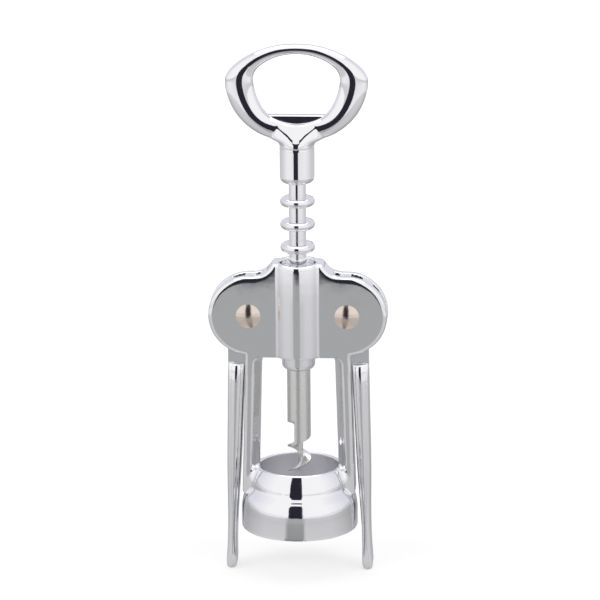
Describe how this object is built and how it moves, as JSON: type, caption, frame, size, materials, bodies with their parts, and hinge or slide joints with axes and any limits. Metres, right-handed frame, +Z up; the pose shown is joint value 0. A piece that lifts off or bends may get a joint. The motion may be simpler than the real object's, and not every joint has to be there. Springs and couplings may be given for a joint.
{
  "type": "wing corkscrew",
  "caption": "Double-lever corkscrew with toothed wings, ringed rack spindle, worm, bell-shaped bottle rest and eye handle with a cap lifter.",
  "frame": {"origin": "centre of the bell's base plane, on the spindle axis", "axes": "+Z up along the spindle towards the handle, -Y towards the front, +X to the right seen from the front"},
  "size_m": [0.0632, 0.0414, 0.1912],
  "materials": {
    "chrome_casting": "polished chrome plate on die-cast zinc",
    "plated_turning": "bright chrome plate on turned steel",
    "plated_worm": "bright nickel plate on machined steel",
    "nickel_rivet": "nickel plate on steel, slightly satin"
  },
  "bodies": {
    "frame": {"frame": "chrome_casting", "left_pivot_rivet": "nickel_rivet", "right_pivot_rivet": "nickel_rivet"},
    "guide_bush": {"guide_bush": "plated_turning"},
    "spindle": {"rack_spindle": "plated_turning", "worm": "plated_worm", "opener_handle": "chrome_casting", "handle_pin": "nickel_rivet"},
    "left_lever": {"left_lever": "chrome_casting"},
    "right_lever": {"right_lever": "chrome_casting"}
  },
  "joints": [
    {"name": "right_wing", "type": "hinge", "parent": "frame", "child": "right_lever", "pos_m": [0.0174, 0, 0.0784], "axis": [0, -1, 0], "range_deg": [0, 150]},
    {"name": "left_wing", "type": "hinge", "parent": "frame", "child": "left_lever", "pos_m": [-0.0174, 0, 0.0784], "axis": [0, 1, 0], "range_deg": [0, 150]},
    {"name": "spindle_slide", "type": "slide", "parent": "frame", "child": "guide_bush", "axis": [0, 0, 1], "range_m": [-0.03458, 0]},
    {"name": "handle_spin", "type": "hinge", "parent": "guide_bush", "child": "spindle", "pos_m": [0, 0, 0.0784], "axis": [0, 0, 1], "continuous": true}
  ],
  "couplings": [
    {"joint": "right_wing", "follows": "spindle_slide", "rad_per_m": -75.701},
    {"joint": "left_wing", "follows": "spindle_slide", "rad_per_m": -75.701}
  ]
}
